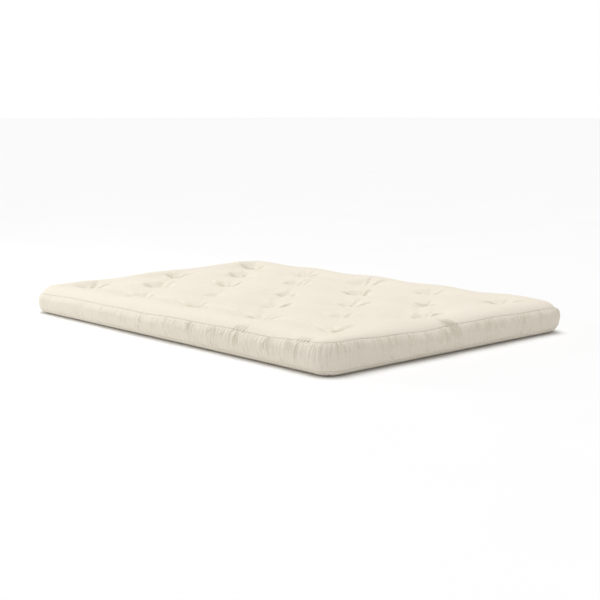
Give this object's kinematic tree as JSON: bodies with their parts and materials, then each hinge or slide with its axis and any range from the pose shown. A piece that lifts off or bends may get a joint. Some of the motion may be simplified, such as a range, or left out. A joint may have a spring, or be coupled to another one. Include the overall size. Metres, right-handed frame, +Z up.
{
  "type": "futon mattress",
  "caption": "Thick rectangular futon mattress with a plain quilted cotton cover, tied tufts in staggered rows, a gathered side border and layered filling, folding across its width.",
  "frame": {"origin": "centre of the underside", "axes": "+X to the right across the width, +Y along the length towards the head end, +Z up through the thickness"},
  "size_m": [1.4, 2, 0.14],
  "materials": {
    "cover_cotton": "matte cotton twill",
    "sewing_thread": "matte thread",
    "yarn": "soft yarn",
    "twine": "waxed twine",
    "cotton_batting": "matte batting",
    "foam": "open cell foam"
  },
  "bodies": {
    "seat": {"cover_top_seat": "cover_cotton", "cover_bottom_seat": "cover_cotton", "border_front": "cover_cotton", "border_left_seat": "cover_cotton", "border_right_seat": "cover_cotton", "seam_thread_top_seat": "sewing_thread", "seam_thread_bottom_seat": "sewing_thread", "seam_thread_corners_seat": "sewing_thread", "cotton_layer_1_seat": "cotton_batting", "cotton_layer_2_seat": "cotton_batting", "foam_core_lower_seat": "foam", "cotton_layer_3_seat": "cotton_batting", "foam_core_upper_seat": "foam", "cotton_layer_4_seat": "cotton_batting", "cotton_layer_5_seat": "cotton_batting", "tufts_top_seat": "yarn", "tufts_bottom_seat": "yarn", "tie_cords_seat": "twine"},
    "back": {"cover_top_back": "cover_cotton", "cover_bottom_back": "cover_cotton", "border_head": "cover_cotton", "border_left_back": "cover_cotton", "border_right_back": "cover_cotton", "seam_thread_top_back": "sewing_thread", "seam_thread_bottom_back": "sewing_thread", "seam_thread_corners_back": "sewing_thread", "cotton_layer_1_back": "cotton_batting", "cotton_layer_2_back": "cotton_batting", "foam_core_lower_back": "foam", "cotton_layer_3_back": "cotton_batting", "foam_core_upper_back": "foam", "cotton_layer_4_back": "cotton_batting", "cotton_layer_5_back": "cotton_batting", "tufts_top_back": "yarn", "tufts_bottom_back": "yarn", "tie_cords_back": "twine"}
  },
  "joints": [
    {"name": "sofa_fold", "type": "hinge", "parent": "seat", "child": "back", "pos_m": [0, 0.17, 0.14], "axis": [1, 0, 0], "range_deg": [0, 165]}
  ]
}
